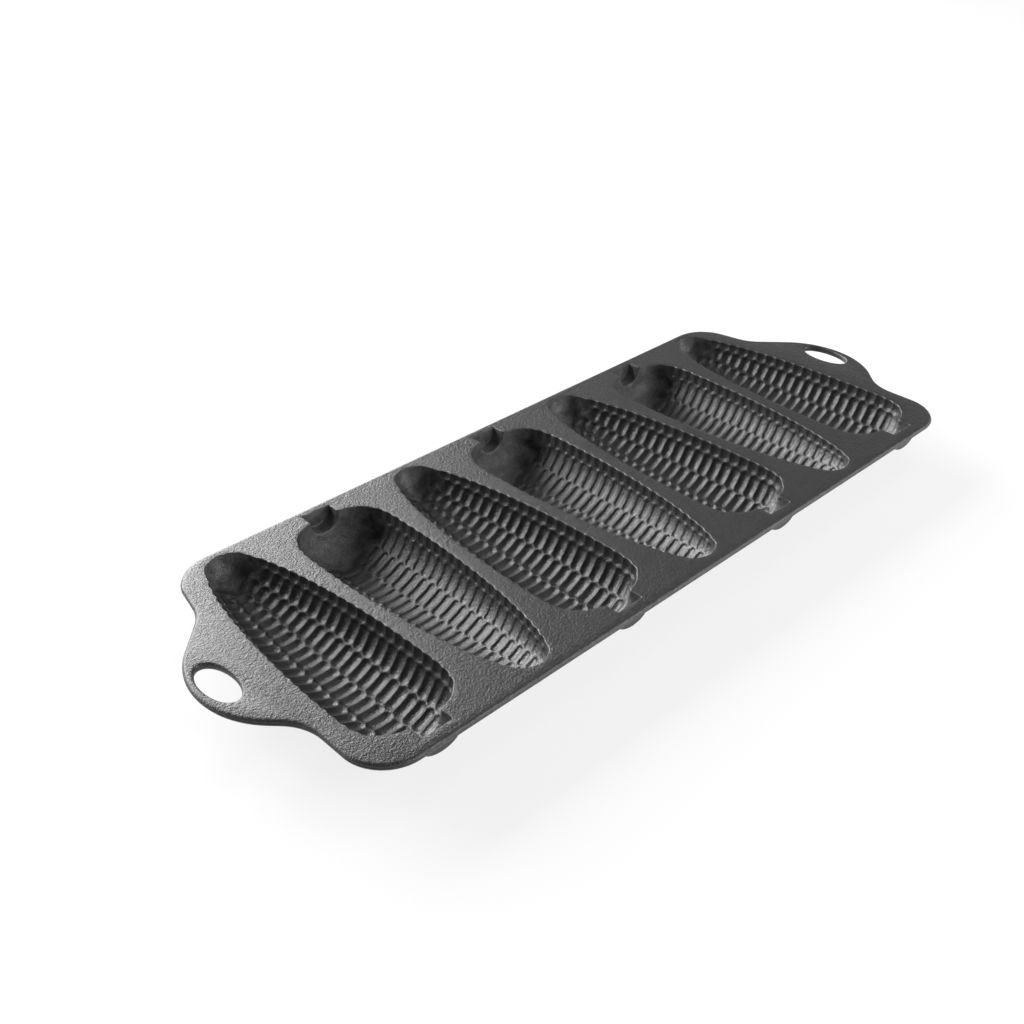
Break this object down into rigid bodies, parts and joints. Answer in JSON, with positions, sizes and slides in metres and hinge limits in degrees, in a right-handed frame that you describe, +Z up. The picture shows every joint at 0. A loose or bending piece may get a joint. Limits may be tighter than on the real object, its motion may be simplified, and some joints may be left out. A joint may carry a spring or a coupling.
{
  "type": "cast iron corn stick pan",
  "caption": "Flat cast iron baking pan whose deck carries corn-ear shaped moulds, laid butt to tip by turns, with kernel relief inside and a looped handle at each end.",
  "frame": {"origin": "middle of the pan in plan, on the plane that the undersides of the cups stand on", "axes": "+X along the pan from its left handle to its right handle, +Y towards its back edge, +Z up out of the moulds"},
  "size_m": [0.375, 0.1396, 0.022],
  "materials": {
    "cast_iron": "satin, fine sand-cast grain"
  },
  "bodies": {
    "root": {"left_deck": "cast_iron", "right_deck": "cast_iron", "left_handle": "cast_iron", "right_handle": "cast_iron", "corn_cup_1": "cast_iron", "corn_cup_2": "cast_iron", "corn_cup_3": "cast_iron", "corn_cup_4": "cast_iron", "corn_cup_5": "cast_iron", "corn_cup_6": "cast_iron", "corn_cup_7": "cast_iron"}
  },
  "joints": []
}
